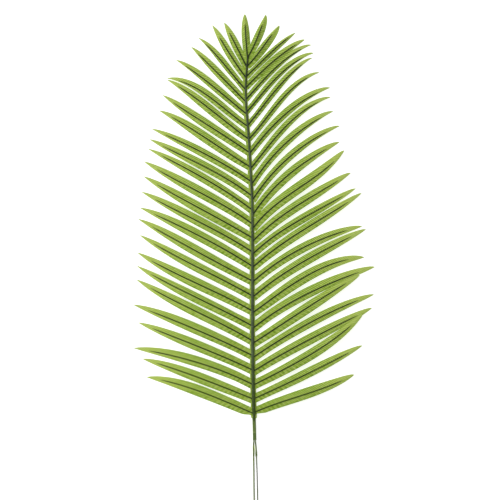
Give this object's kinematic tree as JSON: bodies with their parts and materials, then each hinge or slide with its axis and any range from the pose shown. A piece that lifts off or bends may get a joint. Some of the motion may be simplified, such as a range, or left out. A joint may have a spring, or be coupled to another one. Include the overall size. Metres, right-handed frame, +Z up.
{
  "type": "artificial areca palm frond",
  "caption": "Artificial palm frond: pinnate cloth leaflets in two rows, carried by a slim plastic spine and ribs, with a sleeve of bendable wires behind as its stem.",
  "frame": {"origin": "middle of the frond's bounding box, on the surface it lies on", "axes": "+Y along the spine towards the frond's tip, +X to the right seen from the front, +Z up, out of the leaf's front"},
  "size_m": [0.3979, 0.8049, 0.012],
  "materials": {
    "printed_cloth": "woven polyester, printed in mottled yellow greens, heat pressed with fine slanting pleats, matt with a faint sheen",
    "dark_green_plastic": "soft moulded polyethylene, satin, dark slate green with small worn specks",
    "green_plastic": "soft extruded polyethylene, satin, olive green with a lighter line down its middle",
    "coated_steel_wire": "drawn steel wire in a thin green coating, torn and worn to bare grey metal in places"
  },
  "bodies": {
    "root": {"leaf_cloth": "printed_cloth", "rib_skeleton": "dark_green_plastic", "stem_sleeve": "green_plastic", "wire_left": "coated_steel_wire", "wire_right": "coated_steel_wire"}
  },
  "joints": []
}
